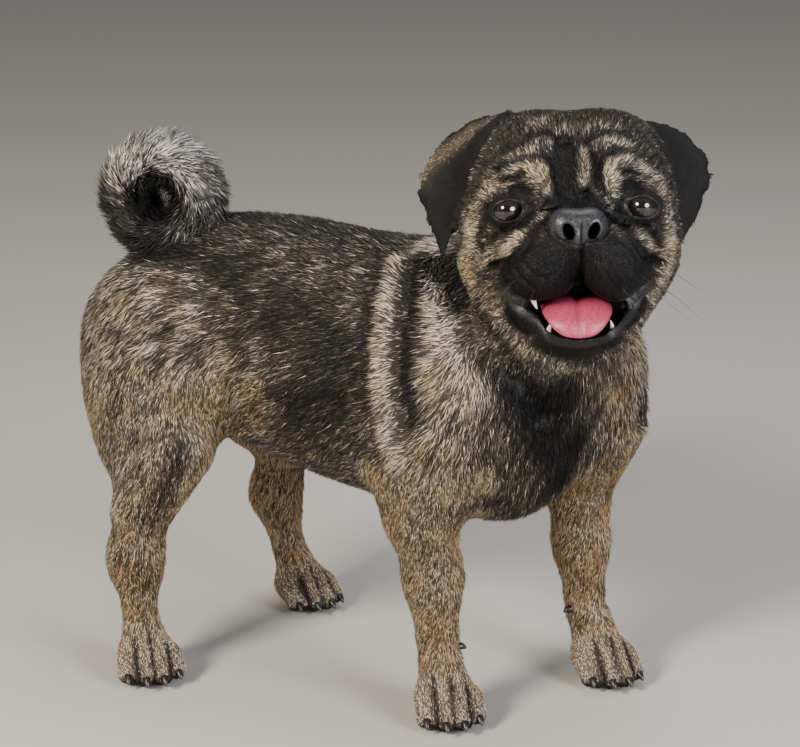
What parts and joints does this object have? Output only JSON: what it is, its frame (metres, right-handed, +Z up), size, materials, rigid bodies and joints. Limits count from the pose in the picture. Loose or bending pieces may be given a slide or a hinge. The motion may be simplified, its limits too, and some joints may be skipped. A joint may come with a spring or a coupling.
{
  "type": "standing dog model",
  "caption": "Life-size still model of a standing pug, its head turned to its right with an open mouth and a curled tail.",
  "frame": {"origin": "on the floor, under the middle of the animal's box", "axes": "+Z up, +X from the tail to the chest, +Y to the dog's left"},
  "size_m": [0.4136, 0.2292, 0.3949],
  "materials": {
    "coat": "short brindled fur, matt",
    "dark_coat": "very short black fur of the ears, soft matt",
    "silver_coat": "longer silver-tipped fur of the tail, matt",
    "nose_leather": "pebbled nose leather, moist satin",
    "tongue": "wet, satin",
    "eye": "wet, glossy",
    "claw": "smooth horn, satin"
  },
  "bodies": {
    "root": {"torso": "coat", "neck": "coat", "head": "coat", "nose": "nose_leather", "tongue": "tongue", "eye_right": "eye", "ear_right": "dark_coat", "eye_left": "eye", "ear_left": "dark_coat", "tail_base": "silver_coat", "tail_middle": "silver_coat", "tail_tip": "silver_coat", "leg_front_right": "coat", "paw_front_right": "coat", "claw_front_right_1": "claw", "claw_front_right_2": "claw", "claw_front_right_3": "claw", "claw_front_right_4": "claw", "leg_front_left": "coat", "paw_front_left": "coat", "claw_front_left_1": "claw", "claw_front_left_2": "claw", "claw_front_left_3": "claw", "claw_front_left_4": "claw", "leg_hind_right": "coat", "paw_hind_right": "coat", "claw_hind_right_1": "claw", "claw_hind_right_2": "claw", "claw_hind_right_3": "claw", "claw_hind_right_4": "claw", "leg_hind_left": "coat", "paw_hind_left": "coat", "claw_hind_left_1": "claw", "claw_hind_left_2": "claw", "claw_hind_left_3": "claw", "claw_hind_left_4": "claw", "dewclaw_front_right": "claw", "dewclaw_front_left": "claw"}
  },
  "joints": []
}
